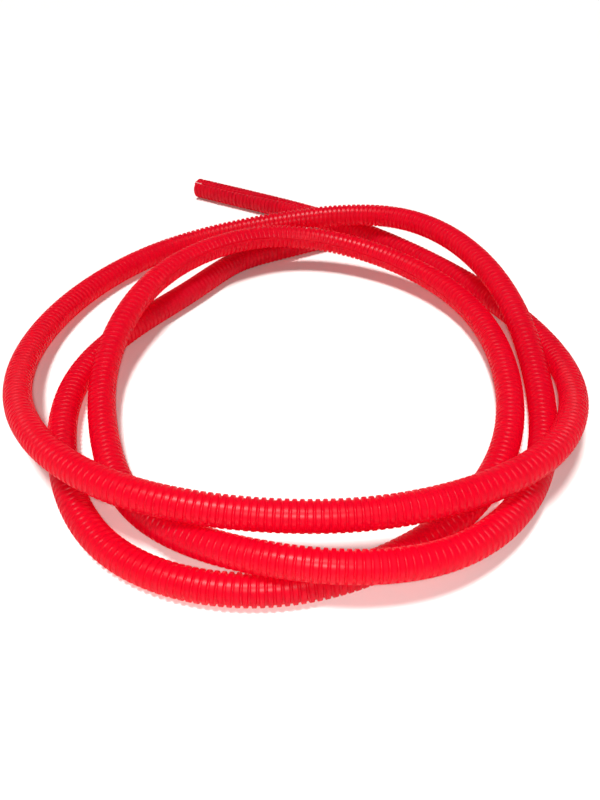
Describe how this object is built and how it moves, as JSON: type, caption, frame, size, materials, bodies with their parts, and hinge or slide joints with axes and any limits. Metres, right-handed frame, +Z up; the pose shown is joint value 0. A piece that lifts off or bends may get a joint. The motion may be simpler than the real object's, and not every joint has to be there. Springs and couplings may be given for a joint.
{
  "type": "coiled corrugated tube",
  "caption": "Bare length of slit corrugated plastic tube lying in a loose flat coil, open at both ends, for covering and routing cables or small hoses.",
  "frame": {"origin": "on the surface that the coil lies on, below the middle of the coil's outline with both ends included", "axes": "+Z up from the surface; +Y runs from the coil towards the free end's side, along the outline's longest extent; +X to the right of that"},
  "size_m": [0.3442, 0.4361, 0.0433],
  "materials": {
    "tube": "glossy saturated red, slightly translucent extruded plastic"
  },
  "bodies": {
    "root": {"free_end": "tube", "first_turn": "tube", "second_turn": "tube", "third_turn": "tube", "covered_end": "tube"}
  },
  "joints": []
}
